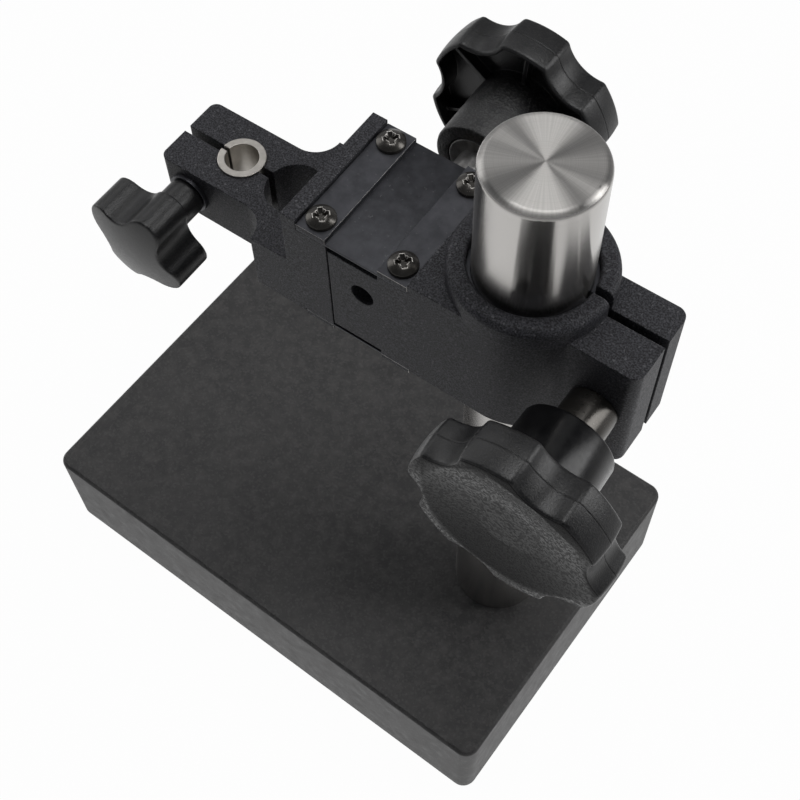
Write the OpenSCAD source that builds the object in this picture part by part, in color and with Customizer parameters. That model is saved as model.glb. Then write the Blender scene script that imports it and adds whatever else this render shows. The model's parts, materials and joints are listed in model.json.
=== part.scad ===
/* [Granite base] */
// Length of the granite base
base_l = 192; // [160:1:260]
// Width of the granite base
base_w = 125; // [100:1:180]
// Thickness of the granite base
base_h = 42; // [32:1:60]
// Radius of the base's upright corners
base_corner_r = 5; // [2:0.5:10]
// Chamfer along the base's edges
base_chamfer = 1; // [0.5:0.1:1.8]

/* [Column] */
// Diameter of the ground column
column_d = 30; // [26:1:34]
// Height of the column above the base
column_h = 226; // [200:1:300]
// Rounding of the column's top edge
column_edge_r = 2; // [0.5:0.1:4]
// Distance from the end of the base to the column axis
column_inset = 32; // [28:1:45]
// Thread diameter of the bolt that holds the column
column_bolt_d = 12; // [8:1:14]
// Width of the column bolt's head across its flats
column_bolt_af = 19; // [15:1:22]
// Height of the column bolt's head
column_bolt_head_h = 7.5; // [5:0.5:9]
// Length of bolt thread inside the column
column_bolt_grip = 28; // [15:1:40]
// Diameter of the washer under the column bolt
washer_d = 28; // [25:1:30]
// Thickness of the washer under the column bolt
washer_t = 2.5; // [1.5:0.5:4]
// Diameter of the recess for the column bolt
bolt_recess_d = 34; // [32:1:40]
// Depth of the recess for the column bolt
bolt_recess_h = 16; // [14:1:20]

/* [Arm position] */
// Height of the arm's underside above the table
arm_z = 186; // [80:0.5:200]
// Swing of the arm around the column in degrees
arm_swing = 1.5; // [-45:0.5:45]

/* [Column clamp] */
// Width of both arm blocks
arm_w = 40; // [38:0.5:48]
// Height of both arm blocks
arm_h = 40; // [38:0.5:48]
// Thickness of the split liner between column and block
liner_t = 1.14; // [0.8:0.02:1.6]
// Wall of the raised ring around the column
ring_wall = 5; // [3:0.5:7]
// Rise of the ring above the block
ring_rise = 6; // [4.5:0.5:10]
// Radius of the ring's outer upper edge
ring_round_r = 2.2; // [1:0.1:2.4]
// Chamfer of the ring's inner upper edge
ring_edge = 0.5; // [0.2:0.1:0.6]
// Depth of the liner's upper end below the ring's top
liner_recess = 3.5; // [1:0.5:4]
// Height of the ledge that carries the liner
liner_ledge = 1.5; // [1:0.5:3]
// Width across the two clamp ears
ear_w = 24; // [22:0.5:30]
// Length of the ears beyond the clamp stud's axis
ear_end = 9.7; // [8:0.1:16]
// Radius of the ears' upright corners
ear_corner_r = 3; // [1:0.5:4]
// Radius where the ears run into the block
ear_fillet_r = 5; // [3:0.5:7]
// Width of the clamp slot
ear_slot = 2.2; // [1.5:0.1:3]
// Offset of the clamp slot towards the back
ear_slot_y = 1; // [0:0.1:1.5]
// Wall between the column's bore and the clamp stud
stud_wall = 6; // [3:0.1:7]
// Thread diameter of the clamp stud
stud_d = 10; // [8:0.5:11]
// Diameter of the spacer between knob and ear
spacer_d = 14; // [13:0.5:14]
// Length of the spacer between knob and ear
spacer_l = 11.4; // [8:0.1:16]

/* [Star knobs] */
// Diameter across the lobes of a star knob
knob_d = 55; // [52:1:58]
// Number of lobes on a star knob
knob_lobes = 6; // [5:1:7]
// Depth of the valleys between the lobes
knob_valley = 3.5; // [2:0.1:4]
// Radius of the valleys between the lobes
knob_valley_r = 10.3; // [8:0.1:11]
// Thickness of a star knob's rim
knob_rim_h = 12.5; // [11:0.5:16]
// Wall of the rim around the hollow behind it
knob_wall = 1.7; // [1.2:0.1:3]
// Length of a star knob's hub behind the rim
knob_hub_l = 17.7; // [12:0.1:20]
// Diameter of the hub at its end
knob_hub_d = 25.8; // [23:0.2:27]
// Widening of the hub up to the rim
knob_hub_flare = 0.8; // [0:0.1:2]
// Depth of the dished front of a star knob
knob_dish = 2.2; // [1.5:0.1:4]
// Width of the flat rim around the dish
knob_face_rim = 3.8; // [3.6:0.1:6]
// Diameter of the flat disc at the bottom of the dish
knob_disc_d = 19; // [12:1:22]
// Depth of the hollow behind the rim
knob_hollow = 6.5; // [4:0.5:7]
// Thickness of the ribs in the hollow
knob_rib_t = 1.2; // [0.8:0.1:2]
// Depth of the ribs' edge behind the rim
knob_rib_recess = 3.2; // [1:0.1:3.5]
// Edge chamfer of the rim and hub
knob_edge = 0.7; // [0.3:0.1:1]
// Outside diameter of the metal insert in a star knob
insert_d = 17.6; // [16:0.2:19]
// Chamfer of the metal insert's edge
insert_edge = 0.5; // [0.2:0.1:0.8]
// Length of the metal insert in a star knob
insert_l = 16; // [10:1:18]
// Turn of the clamp knob's lobes in degrees
clamp_lobe_turn = 43; // [0:1:60]
// Turn of the fine knob's lobes in degrees
fine_lobe_turn = 26; // [0:1:60]

/* [Front block and stem arm] */
// Gap between the rear and front blocks
block_gap = 0.5; // [0.3:0.1:0.8]
// Thickness of the lip in front of the clamp bar
lip_t = 4.6; // [3:0.1:8]
// Length of the nose beyond the lip
nose_l = 12.3; // [8:0.1:20]
// Height of the nose and of the stem arm's top
nose_h = 20; // [19:0.5:21]
// Width of the stem arm
stem_arm_w = 24; // [22:0.5:28]
// Thickness of the stem arm
stem_arm_t = 18; // [14:0.5:19]
// Length of the stem arm beyond its clamp screw
tip_l = 9.4; // [8:0.1:16]
// Radius of the stem arm's upright corners
tip_corner_r = 2.5; // [1:0.5:4]
// Distance from the end of the nose to the relief hole's axis
relief_offset = 0.2; // [0:0.1:2]
// Diameter of the relief hole
relief_d = 17; // [12:0.5:18]
// Width of the slit in the stem arm
slit_w = 2.2; // [1.5:0.1:3]
// Distance from the relief hole to the stem bush
relief_to_stem = 18.5; // [17.5:0.5:28]
// Bore of the stem bush
stem_d = 9.525; // [8:0.005:10]
// Wall of the split stem bush
stem_bush_wall = 2.1; // [1:0.1:2.2]
// Width of the cut in the stem bush
stem_bush_cut = 0.9; // [0.5:0.1:1.5]
// Height of the stem bush above the stem arm
stem_bush_rise = 0.7; // [0:0.1:2]
// Wall between the stem bush and the stem clamp screw
stem_screw_wall = 0.34; // [0.32:0.02:3]

/* [Stem clamp knob] */
// Diameter across the lobes of the stem clamp knob
lobe_knob_d = 32; // [29:0.5:34]
// Thickness of the stem clamp knob at its lobes
lobe_knob_h = 11.8; // [9:0.1:14]
// Rise of the domed front of the stem clamp knob
lobe_knob_dome = 2.6; // [1:0.1:4]
// Radius of each round tip of the stem clamp knob
lobe_tip_r = 5.3; // [4.4:0.1:5.6]
// Depth of the valleys between those tips
lobe_valley = 5.6; // [4.8:0.1:6.3]
// Diameter of the stem clamp knob's hub
lobe_hub_d = 11.2; // [9:0.1:12]
// Length of the stem clamp knob's hub
lobe_hub_l = 10.5; // [8:0.5:14]
// Turn of the stem clamp knob's lobes in degrees
lobe_turn = 61; // [0:1:90]
// Thread diameter of the stem clamp screw
clamp_screw_d = 6; // [4:0.5:6]
// Diameter of the washer under the stem clamp knob
clamp_washer_d = 12.4; // [12:0.2:15]
// Thickness of the washer under the stem clamp knob
clamp_washer_t = 1.2; // [0.8:0.1:2]

/* [Leaf springs] */
// Thickness of both leaf springs
leaf_t = 0.6; // [0.3:0.1:1]
// Depth of the upper leaf's seat below the block's top
top_seat = 3.4; // [3:0.1:4]
// Height of the lower leaf's seat above the block's underside
bottom_seat = 1.2; // [1:0.1:2]
// Room for the free stretch of a leaf
leaf_relief = 1.8; // [1:0.1:2]
// Width of the clamp bars
bar_w = 9; // [8:0.1:12]
// Thickness of the clamp bars
bar_t = 1.6; // [1:0.1:2.2]
// Distance from the ring to the rear clamp bar
ring_to_bar = 1.9; // [0.5:0.1:3]
// Gap on both sides of a front clamp bar
bar_gap = 0.2; // [0.1:0.1:0.5]
// Spacing of the two screws in a clamp bar
bar_screw_spacing = 30; // [24:0.5:32]
// Thread diameter of the bar screws
bar_screw_d = 4; // [3:0.5:4]
// Head diameter of the bar screws
bar_head_d = 8; // [6:0.1:8.2]
// Head height of the bar screws
bar_head_h = 2.6; // [1.8:0.1:3]
// Depth of the bar screws in the blocks
bar_screw_depth = 8; // [6:0.5:9]

/* [Fine adjustment] */
// Distance from the middle of the rear clamp bar to the fine shaft
bar_to_shaft = 9.6; // [9:0.1:14]
// Distance from the fine shaft to the end of the rear block
shaft_to_end = 10.3; // [7.5:0.1:14]
// Rise of the fine shaft above the middle of the arm
fine_rise = 4; // [2:0.1:4]
// Diameter of the fine shaft
shaft_d = 10; // [9:0.5:10.5]
// Throw of the eccentric on the fine shaft
shaft_throw = 1.2; // [0.6:0.1:1.4]
// Bore in the front wall for the shaft's end
front_journal_d = 7; // [5:0.5:7]
// Depth of the shaft's end below the front wall
journal_recess = 5; // [1:0.5:8]
// Wall of the bronze bush for the fine shaft
shaft_bush_wall = 2; // [1.5:0.1:2.5]
// Width of the thrust collar on the fine shaft
collar_l = 1.7; // [1:0.1:2]
// Gap between the arm's back and the fine knob's hub
fine_hub_gap = 11.7; // [8:0.1:14]
// Width of the lift tongue
tongue_w = 10; // [8:0.5:11]
// Height of the lift tongue
tongue_h = 14; // [13:0.5:14]
// Room around the lift tongue for its travel
tongue_room = 1.5; // [1.2:0.1:1.6]
// Wall of the lift tongue behind the eccentric's slot
tongue_end = 3.4; // [2:0.1:3.6]
// Depth of the lift tongue in the front block
tongue_grip = 6; // [4:0.5:7]
// Thread diameter of the screw that holds the tongue
tongue_screw_d = 5; // [4:0.5:5]
// Head diameter of the tongue screw
tongue_head_d = 8.5; // [7:0.1:8.5]
// Head height of the tongue screw
tongue_head_h = 5; // [4:0.5:5]

/* [Fits] */
// Radial clearance of the liner on the column
slide_fit = 0.03; // [0.02:0.01:0.08]
// Radial clearance of turning pieces
turn_fit = 0.03; // [0.02:0.01:0.06]
// Radial clearance of pressed and screwed pieces
seat_fit = 0.02; // [0.01:0.01:0.05]
// Clearance between pieces that pass freely
free_fit = 0.3; // [0.2:0.05:0.5]

/* [Hidden] */
$fn = 96;

granite = [0.23, 0.23, 0.24];
steel = [0.75, 0.74, 0.72];
black_coat = [0.11, 0.11, 0.12];
black_steel = [0.16, 0.16, 0.18];
black_plastic = [0.06, 0.06, 0.065];
bronze = [0.62, 0.47, 0.26];

over = 1;
column_x = base_l / 2 - column_inset;
column_r = column_d / 2;
thread_fit = 2 * seat_fit;

// Clamp around the column
liner_ro = column_r + slide_fit + liner_t;
bore_r = liner_ro + turn_fit;
ring_r = bore_r + ring_wall;
barrel_r = arm_w / 2;
liner_top = arm_h + ring_rise - liner_recess;
stud_reach = bore_r + stud_wall + stud_d / 2;
stud_z = arm_h / 2;
ear_reach = stud_reach + ear_end;

// Distances of the arm's features from the column axis, from the ring to the tip
rear_seat_end = ring_r + ring_to_bar;
rear_seat_front = rear_seat_end + bar_w;
rear_bar_reach = rear_seat_end + bar_w / 2;
fine_reach = rear_bar_reach + bar_to_shaft;
rear_reach = fine_reach + shaft_to_end;
front_start = rear_reach + block_gap;
front_bar_reach = front_start + bar_gap + bar_w / 2;
lip_start = front_bar_reach + bar_w / 2 + bar_gap;
front_reach = lip_start + lip_t;
nose_reach = front_reach + nose_l;
relief_reach = nose_reach + relief_offset;
stem_reach = relief_reach + relief_to_stem;
stem_bush_ro = stem_d / 2 + stem_bush_wall;
// Radius added to each valley, so that it crosses the round tips beside it
lobe_cross = 0.04;
stem_clamp_reach = stem_reach + stem_bush_ro + stem_screw_wall + clamp_screw_d / 2;
tip_reach = stem_clamp_reach + tip_l;

// Heights along the arm
top_seat_z = arm_h - top_seat;
fine_z = arm_h / 2 + fine_rise;
leaf_l = front_bar_reach + bar_w / 2 - rear_seat_end;
bar_l = arm_w;

// Places along the fine shaft
shaft_r = shaft_d / 2;
eccentric_r = shaft_r - shaft_throw;
pocket_y = tongue_w / 2 + free_fit;
collar_start = pocket_y + free_fit;
collar_end = collar_start + collar_l;
shaft_bush_ro = shaft_r + turn_fit + shaft_bush_wall;
collar_r = shaft_bush_ro - free_fit;
bush_start = collar_end + free_fit / 2;
fine_hub_y = arm_w / 2 + fine_hub_gap;
shaft_in_knob = insert_l - over;

// Lift tongue between the two blocks
tongue_slot_far = fine_reach + shaft_r + free_fit;
tongue_slot_near = fine_reach - shaft_r - free_fit;
tongue_back = tongue_slot_near - tongue_end;
tongue_front = front_start + tongue_grip;
tongue_screw_end = tongue_slot_far + over;

// Stem arm and its clamp
stem_arm_z = nose_h - stem_arm_t;
stem_clamp_z = stem_arm_z + stem_arm_t / 2;
flare_r = (arm_w - stem_arm_w) / 2;
clamp_hub_y = stem_arm_w / 2 + clamp_washer_t;

// The arm's own frame: its origin lies on the column axis at the arm's underside
module on_arm() {
    translate([column_x, 0, arm_z]) rotate([0, 0, arm_swing]) children();
}

// Points the local Z axis to the front of the arm, from the given place
module facing_front(reach, y, z) {
    translate([reach, -y, z]) rotate([90, 0, 0]) children();
}

// Points the local Z axis to the back of the arm, from the given place
module facing_back(reach, y, z) {
    translate([reach, y, z]) rotate([-90, 0, 0]) children();
}

// A block between two distances from the column axis, centred on the arm
module span(near, far, width, z0, z1) {
    translate([-far, -width / 2, z0]) cube([far - near, width, z1 - z0]);
}

// A flat strip from the origin along X whose far corners are round
module round_ended(length, width, radius) {
    translate([0, -width / 2]) square([length - radius, width]);
    translate([0, radius - width / 2]) square([length, width - 2 * radius]);
    for (side = [-1, 1])
        translate([length - radius, side * (width / 2 - radius)]) circle(radius);
}

// Cross section of the base with chamfered edges, standing in the XY plane
module chamfered_section(width, height) {
    half = width / 2;
    c = base_chamfer;
    polygon([
        [-half + c, 0], [half - c, 0], [half, c], [half, height - c],
        [half - c, height], [-half + c, height], [-half, height - c], [-half, c]
    ]);
}

// Places of the screws in one clamp bar
module at_bar_screws(reach) {
    for (side = [-1, 1])
        translate([-reach, side * bar_screw_spacing / 2, 0]) children();
}

// Tapped holes for the upper and lower bar screws
module bar_screw_holes(reach) {
    hole_r = bar_screw_d / 2 + thread_fit;
    at_bar_screws(reach) {
        translate([0, 0, top_seat_z - bar_screw_depth - over])
            cylinder(r = hole_r, h = bar_screw_depth + 2 * over);
        translate([0, 0, bottom_seat - over])
            cylinder(r = hole_r, h = bar_screw_depth + 2 * over);
    }
}

// One pan-head screw with a cross recess, its seat at the origin and its shank below
module pan_screw(length) {
    crown = bar_head_h / 2;
    crown_r = (pow(bar_head_d / 2, 2) + crown * crown) / (2 * crown);
    recess_w = bar_head_d / 8;
    recess_l = bar_head_d * 0.6;
    difference() {
        union() {
            translate([0, 0, -length]) cylinder(d = bar_screw_d, h = length);
            rotate_extrude() intersection() {
                square([bar_head_d / 2, bar_head_h]);
                translate([0, bar_head_h - crown_r]) circle(crown_r);
            }
        }
        for (turn = [0, 90])
            rotate([0, 0, turn + 45]) translate([-recess_l / 2, -recess_w / 2, bar_head_h - crown])
                cube([recess_l, recess_w, bar_head_h]);
    }
}

// Four screws that hold one upper and one lower clamp bar
module bar_screws(reach) {
    length = bar_screw_depth + leaf_t + bar_t;
    at_bar_screws(reach) {
        translate([0, 0, top_seat_z + leaf_t + bar_t]) pan_screw(length);
        translate([0, 0, bottom_seat - leaf_t - bar_t]) mirror([0, 0, 1]) pan_screw(length);
    }
}

// One upper and one lower clamp bar with their screw holes
module clamp_bars(reach) {
    for (z = [top_seat_z + leaf_t, bottom_seat - leaf_t - bar_t]) difference() {
        span(reach - bar_w / 2, reach + bar_w / 2, bar_l, z, z + bar_t);
        at_bar_screws(reach) translate([0, 0, z - over])
            cylinder(r = bar_screw_d / 2 + free_fit, h = bar_t + 2 * over);
    }
}

// One leaf spring with clearance holes for both rows of screws
module leaf(z) {
    difference() {
        span(rear_seat_end, rear_seat_end + leaf_l, bar_l, z, z + leaf_t);
        for (reach = [rear_bar_reach, front_bar_reach])
            at_bar_screws(reach) translate([0, 0, z - over])
                cylinder(r = bar_screw_d / 2 + free_fit, h = leaf_t + 2 * over);
    }
}

// Section of a star knob from its axis outwards, its hub's end at zero height
module star_section() {
    rim_r = knob_d / 2;
    hub_r = knob_hub_d / 2;
    disc_r = knob_disc_d / 2;
    insert_r = insert_d / 2 + seat_fit;
    insert_top = insert_l + seat_fit;
    face = knob_hub_l + knob_rim_h;
    dish_bottom = face - knob_dish;
    polygon([
        [0, insert_top], [insert_r, insert_top], [insert_r, 0], [hub_r - knob_edge, 0],
        [hub_r, knob_edge], [hub_r + knob_hub_flare / 2, knob_hub_l],
        [rim_r - knob_edge, knob_hub_l], [rim_r, knob_hub_l + knob_edge],
        [rim_r, face - knob_edge], [rim_r - knob_edge, face], [rim_r - knob_face_rim, face],
        [disc_r, dish_bottom], [0, dish_bottom]
    ]);
}

// The valleys between the lobes in plan, their radius grown by the given amount
module valleys(grow) {
    place = knob_d / 2 - knob_valley + knob_valley_r;
    for (i = [0 : knob_lobes - 1])
        rotate((i + 0.5) * 360 / knob_lobes) translate([place, 0]) circle(knob_valley_r + grow);
}

// Hollow behind the rim: it follows the lobes with an even wall and leaves a rib in each lobe
module star_hollow() {
    rib_z = knob_hub_l + knob_rib_recess;
    difference() {
        translate([0, 0, knob_hub_l - over]) linear_extrude(knob_hollow + over) difference() {
            circle(knob_d / 2 - knob_wall);
            circle(knob_hub_d / 2 + knob_hub_flare / 2);
            valleys(knob_wall);
        }
        for (i = [0 : knob_lobes - 1]) rotate([0, 0, i * 360 / knob_lobes])
            translate([0, -knob_rib_t / 2, rib_z]) cube([knob_d / 2, knob_rib_t, knob_hollow]);
    }
}

// Moulded star knob on its axis, lobes turned by the given angle
module star_knob(turn) {
    rotate([0, 0, turn]) difference() {
        rotate_extrude() star_section();
        translate([0, 0, knob_hub_l - over]) linear_extrude(knob_rim_h + 2 * over) valleys(0);
        star_hollow();
    }
}

// Metal insert moulded into a star knob's hub, bored for its shaft
module star_insert(shaft_radius, depth) {
    insert_r = insert_d / 2;
    difference() {
        rotate_extrude() polygon([
            [0, 0], [insert_r - insert_edge, 0], [insert_r, insert_edge], [insert_r, insert_l], [0, insert_l]
        ]);
        translate([0, 0, -over]) cylinder(r = shaft_radius + seat_fit, h = depth + over);
    }
}

module granite_base() {
    straight_l = base_l - 2 * base_corner_r;
    straight_w = base_w - 2 * base_corner_r;
    inner_r = base_corner_r - base_chamfer;
    color(granite) difference() {
        union() {
            translate([-straight_l / 2, 0, 0]) rotate([90, 0, 90])
                linear_extrude(straight_l) chamfered_section(base_w, base_h);
            translate([0, straight_w / 2, 0]) rotate([90, 0, 0])
                linear_extrude(straight_w) chamfered_section(base_l, base_h);
            for (sx = [-1, 1], sy = [-1, 1])
                translate([sx * straight_l / 2, sy * straight_w / 2, 0]) rotate_extrude() polygon([
                    [0, 0], [inner_r, 0], [base_corner_r, base_chamfer],
                    [base_corner_r, base_h - base_chamfer], [inner_r, base_h], [0, base_h]
                ]);
        }
        translate([column_x, 0, -over]) cylinder(d = bolt_recess_d, h = bolt_recess_h + over);
        translate([column_x, 0, 0]) cylinder(d = column_bolt_d + 2, h = base_h + over);
    }
}

module column() {
    round_z = column_h - column_edge_r;
    hole_h = column_bolt_grip + 5;
    color(steel) translate([column_x, 0, base_h]) difference() {
        rotate_extrude() {
            square([column_r, round_z]);
            square([column_r - column_edge_r, column_h]);
            translate([column_r - column_edge_r, round_z]) intersection() {
                circle(column_edge_r);
                square(column_edge_r);
            }
        }
        translate([0, 0, -over]) cylinder(r = column_bolt_d / 2 + thread_fit, h = hole_h + over);
    }
}

module column_bolt() {
    head_top = bolt_recess_h - washer_t;
    color(black_steel) translate([column_x, 0, 0]) {
        translate([0, 0, head_top - column_bolt_head_h])
            cylinder(d = column_bolt_af / cos(30), h = column_bolt_head_h, $fn = 6);
        translate([0, 0, head_top - over])
            cylinder(d = column_bolt_d, h = base_h + column_bolt_grip - head_top + over);
    }
}

module column_washer() {
    color(steel) translate([column_x, 0, bolt_recess_h - washer_t]) difference() {
        cylinder(d = washer_d, h = washer_t);
        translate([0, 0, -over]) cylinder(r = column_bolt_d / 2 + free_fit, h = washer_t + 2 * over);
    }
}

module column_liner() {
    color(black_steel) on_arm() difference() {
        translate([0, 0, liner_ledge + seat_fit]) difference() {
            cylinder(r = liner_ro, h = liner_top - liner_ledge - seat_fit);
            translate([0, 0, -over]) cylinder(r = column_r + slide_fit, h = liner_top + over);
        }
        translate([0, ear_slot_y - ear_slot / 2, 0]) cube([liner_ro + over, ear_slot, liner_top + over]);
    }
}

// Plan of the rear block: block, barrel round the column, and the two ears with their fillets
module rear_plan() {
    fillet_y = ear_w / 2 + ear_fillet_r;
    fillet_x = sqrt(pow(barrel_r + ear_fillet_r, 2) - pow(fillet_y, 2));
    translate([-rear_reach, -arm_w / 2]) square([rear_reach, arm_w]);
    circle(barrel_r);
    round_ended(ear_reach, ear_w, ear_corner_r);
    for (side = [-1, 1]) difference() {
        polygon([[0, 0], [fillet_x, 0], [fillet_x, side * fillet_y]]);
        translate([fillet_x, side * fillet_y]) circle(ear_fillet_r);
    }
}

module rear_block() {
    ring_top = arm_h + ring_rise;
    round_x = ring_r - ring_round_r;
    round_z = ring_top - ring_round_r;
    bore_top = ring_top + over;
    pocket_low = fine_z - tongue_h / 2 - tongue_room;
    pocket_high = fine_z + tongue_h / 2 + tongue_room;
    color(black_coat) on_arm() difference() {
        union() {
            linear_extrude(arm_h) rear_plan();
            // Raised ring with a round outer edge
            rotate_extrude() {
                polygon([
                    [0, arm_h - over], [ring_r, arm_h - over], [ring_r, round_z], [round_x, ring_top],
                    [bore_r + ring_edge, ring_top], [bore_r, ring_top - ring_edge],
                    [0, ring_top - ring_edge]
                ]);
                translate([round_x, round_z]) intersection() {
                    circle(ring_round_r);
                    square(ring_round_r);
                }
            }
        }
        // Bore for the liner, with the ledge that carries it
        translate([0, 0, liner_ledge]) cylinder(r = bore_r, h = bore_top);
        translate([0, 0, -over]) cylinder(r = column_r + free_fit, h = bore_top);
        // Clamp slot through ring and ears
        translate([0, ear_slot_y - ear_slot / 2, -over]) cube([ear_reach + over, ear_slot, bore_top + over]);
        // Stud hole, free in the front ear and tapped in the back ear
        facing_front(stud_reach, -ear_slot_y, stud_z)
            cylinder(r = stud_d / 2 + free_fit, h = ear_w);
        facing_back(stud_reach, ear_slot_y, stud_z)
            cylinder(r = stud_d / 2 + thread_fit, h = ear_w);
        // Seats and free room for the two leaf springs
        span(rear_seat_end, rear_reach + over, arm_w + 2 * over, top_seat_z, arm_h + over);
        span(rear_seat_front, rear_reach + over, arm_w + 2 * over, top_seat_z - leaf_relief, arm_h);
        span(rear_seat_end, rear_reach + over, arm_w + 2 * over, -over, bottom_seat);
        span(rear_seat_front, rear_reach + over, arm_w + 2 * over, -over, bottom_seat + leaf_relief - leaf_t);
        bar_screw_holes(rear_bar_reach);
        // Pocket for the lift tongue and the cross bore for the fine shaft
        span(tongue_back - tongue_room, rear_reach + over, 2 * pocket_y, pocket_low, pocket_high);
        facing_front(-fine_reach, 0, fine_z) cylinder(d = front_journal_d, h = arm_w);
        facing_back(-fine_reach, 0, fine_z) cylinder(r = shaft_bush_ro + seat_fit, h = arm_w);
    }
}

module clamp_spacer() {
    color(black_steel) on_arm() facing_front(stud_reach, ear_w / 2, stud_z) difference() {
        cylinder(d = spacer_d, h = spacer_l);
        translate([0, 0, -over]) cylinder(r = stud_d / 2 + turn_fit, h = spacer_l + 2 * over);
    }
}

module clamp_stud() {
    front = ear_w / 2 + spacer_l + insert_l - over;
    back = ear_w / 2 - over / 2;
    color(steel) on_arm() facing_back(stud_reach, -front, stud_z) cylinder(d = stud_d, h = front + back);
}

module clamp_knob() {
    color(black_plastic) on_arm() facing_front(stud_reach, ear_w / 2 + spacer_l, stud_z)
        star_knob(clamp_lobe_turn);
}

module clamp_knob_insert() {
    color(steel) on_arm() facing_front(stud_reach, ear_w / 2 + spacer_l, stud_z)
        star_insert(stud_d / 2, insert_l - over + seat_fit);
}

module top_leaf() {
    color(black_steel) on_arm() leaf(top_seat_z);
}

module bottom_leaf() {
    color(black_steel) on_arm() leaf(bottom_seat - leaf_t);
}

module rear_clamp_bars() {
    color(black_steel) on_arm() clamp_bars(rear_bar_reach);
}

module rear_bar_screws() {
    color(black_steel) on_arm() bar_screws(rear_bar_reach);
}

module shaft_bush() {
    color(bronze) on_arm() facing_back(-fine_reach, bush_start, fine_z) difference() {
        cylinder(r = shaft_bush_ro, h = arm_w / 2 - bush_start);
        translate([0, 0, -over]) cylinder(r = shaft_r + turn_fit, h = arm_w);
    }
}

module fine_shaft() {
    journal_r = front_journal_d / 2 - turn_fit;
    journal_l = arm_w / 2 - pocket_y - journal_recess;
    color(steel) on_arm() {
        facing_front(-fine_reach, pocket_y, fine_z) cylinder(r = journal_r, h = journal_l);
        facing_back(-fine_reach - shaft_throw, -pocket_y, fine_z)
            cylinder(r = eccentric_r, h = pocket_y + collar_start + over / 2);
        facing_back(-fine_reach, collar_start, fine_z) cylinder(r = collar_r, h = collar_l);
        facing_back(-fine_reach, collar_start, fine_z)
            cylinder(r = shaft_r, h = fine_hub_y + shaft_in_knob - collar_start);
    }
}

module fine_knob() {
    color(black_plastic) on_arm() facing_back(-fine_reach, fine_hub_y, fine_z) star_knob(-fine_lobe_turn);
}

module fine_knob_insert() {
    color(steel) on_arm() facing_back(-fine_reach, fine_hub_y, fine_z)
        star_insert(shaft_r, shaft_in_knob + seat_fit);
}

// Plan of the stem arm with its round-cornered tip and the flares that widen it to the nose
module stem_arm_plan() {
    mirror([1, 0]) round_ended(tip_reach, stem_arm_w, tip_corner_r);
    for (side = [-1, 1]) difference() {
        translate([-nose_reach - flare_r, side > 0 ? 0 : -arm_w / 2]) square([flare_r + over, arm_w / 2]);
        translate([-nose_reach - flare_r, side * arm_w / 2]) circle(flare_r);
    }
}

module front_block() {
    tongue_low = fine_z - tongue_h / 2 - seat_fit;
    tongue_high = fine_z + tongue_h / 2 + seat_fit;
    color(black_coat) on_arm() difference() {
        union() {
            span(front_start, nose_reach, arm_w, 0, nose_h);
            span(front_start, front_reach, arm_w, nose_h - over, top_seat_z);
            span(lip_start, front_reach, arm_w, top_seat_z - over, arm_h);
            translate([0, 0, stem_arm_z]) linear_extrude(stem_arm_t) difference() {
                stem_arm_plan();
                translate([-front_start - over, -arm_w]) square(2 * arm_w);
            }
        }
        span(front_start - over, lip_start, arm_w + 2 * over, -over, bottom_seat);
        bar_screw_holes(front_bar_reach);
        // Seat of the lift tongue and the hole for its screw
        span(front_start - over, tongue_front + seat_fit, tongue_w + 2 * seat_fit, tongue_low, tongue_high);
        translate([-front_reach - over, 0, fine_z]) rotate([0, 90, 0]) {
            cylinder(r = tongue_screw_d / 2 + free_fit, h = front_reach - front_start + over);
            cylinder(r = tongue_head_d / 2 + free_fit, h = tongue_head_h + over);
        }
        // Split stem clamp: bush bore, slit, relief hole and the cross hole for the clamp screw
        translate([-stem_reach, 0, -over]) cylinder(r = stem_bush_ro + seat_fit, h = nose_h + 2 * over);
        translate([-relief_reach, 0, -over]) cylinder(d = relief_d, h = nose_h + 2 * over);
        span(relief_reach, tip_reach + over, slit_w, -over, nose_h + over);
        facing_front(-stem_clamp_reach, 0, stem_clamp_z)
            cylinder(r = clamp_screw_d / 2 + free_fit, h = stem_arm_w);
        facing_back(-stem_clamp_reach, 0, stem_clamp_z)
            cylinder(r = clamp_screw_d / 2 + thread_fit, h = stem_arm_w);
    }
}

module front_clamp_bars() {
    color(black_steel) on_arm() clamp_bars(front_bar_reach);
}

module front_bar_screws() {
    color(black_steel) on_arm() bar_screws(front_bar_reach);
}

module lift_tongue() {
    low = fine_z - tongue_h / 2;
    slot_h = 2 * (eccentric_r + 2 * turn_fit);
    color(steel) on_arm() difference() {
        span(tongue_back, tongue_front, tongue_w, low, low + tongue_h);
        span(tongue_slot_near, tongue_slot_far, tongue_w + 2 * over, fine_z - slot_h / 2, fine_z + slot_h / 2);
        translate([-tongue_front - over, 0, fine_z]) rotate([0, 90, 0])
            cylinder(r = tongue_screw_d / 2 + thread_fit, h = tongue_front + 2 * over - tongue_slot_far);
    }
}

module tongue_screw() {
    socket_af = tongue_head_d / 2;
    color(black_steel) on_arm() translate([-front_reach, 0, fine_z]) rotate([0, 90, 0]) difference() {
        union() {
            cylinder(d = tongue_head_d, h = tongue_head_h);
            cylinder(d = tongue_screw_d, h = front_reach - tongue_screw_end);
        }
        translate([0, 0, -over]) cylinder(d = socket_af, h = tongue_head_h / 2 + over, $fn = 6);
    }
}

module stem_bush() {
    bush_h = stem_arm_t + stem_bush_rise;
    color(steel) on_arm() translate([-stem_reach, 0, stem_arm_z]) difference() {
        cylinder(r = stem_bush_ro, h = bush_h);
        translate([0, 0, -over]) cylinder(d = stem_d, h = bush_h + 2 * over);
        translate([-stem_bush_ro - over, -stem_bush_cut / 2, -over])
            cube([stem_bush_ro + over, stem_bush_cut, bush_h + 2 * over]);
    }
}

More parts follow.
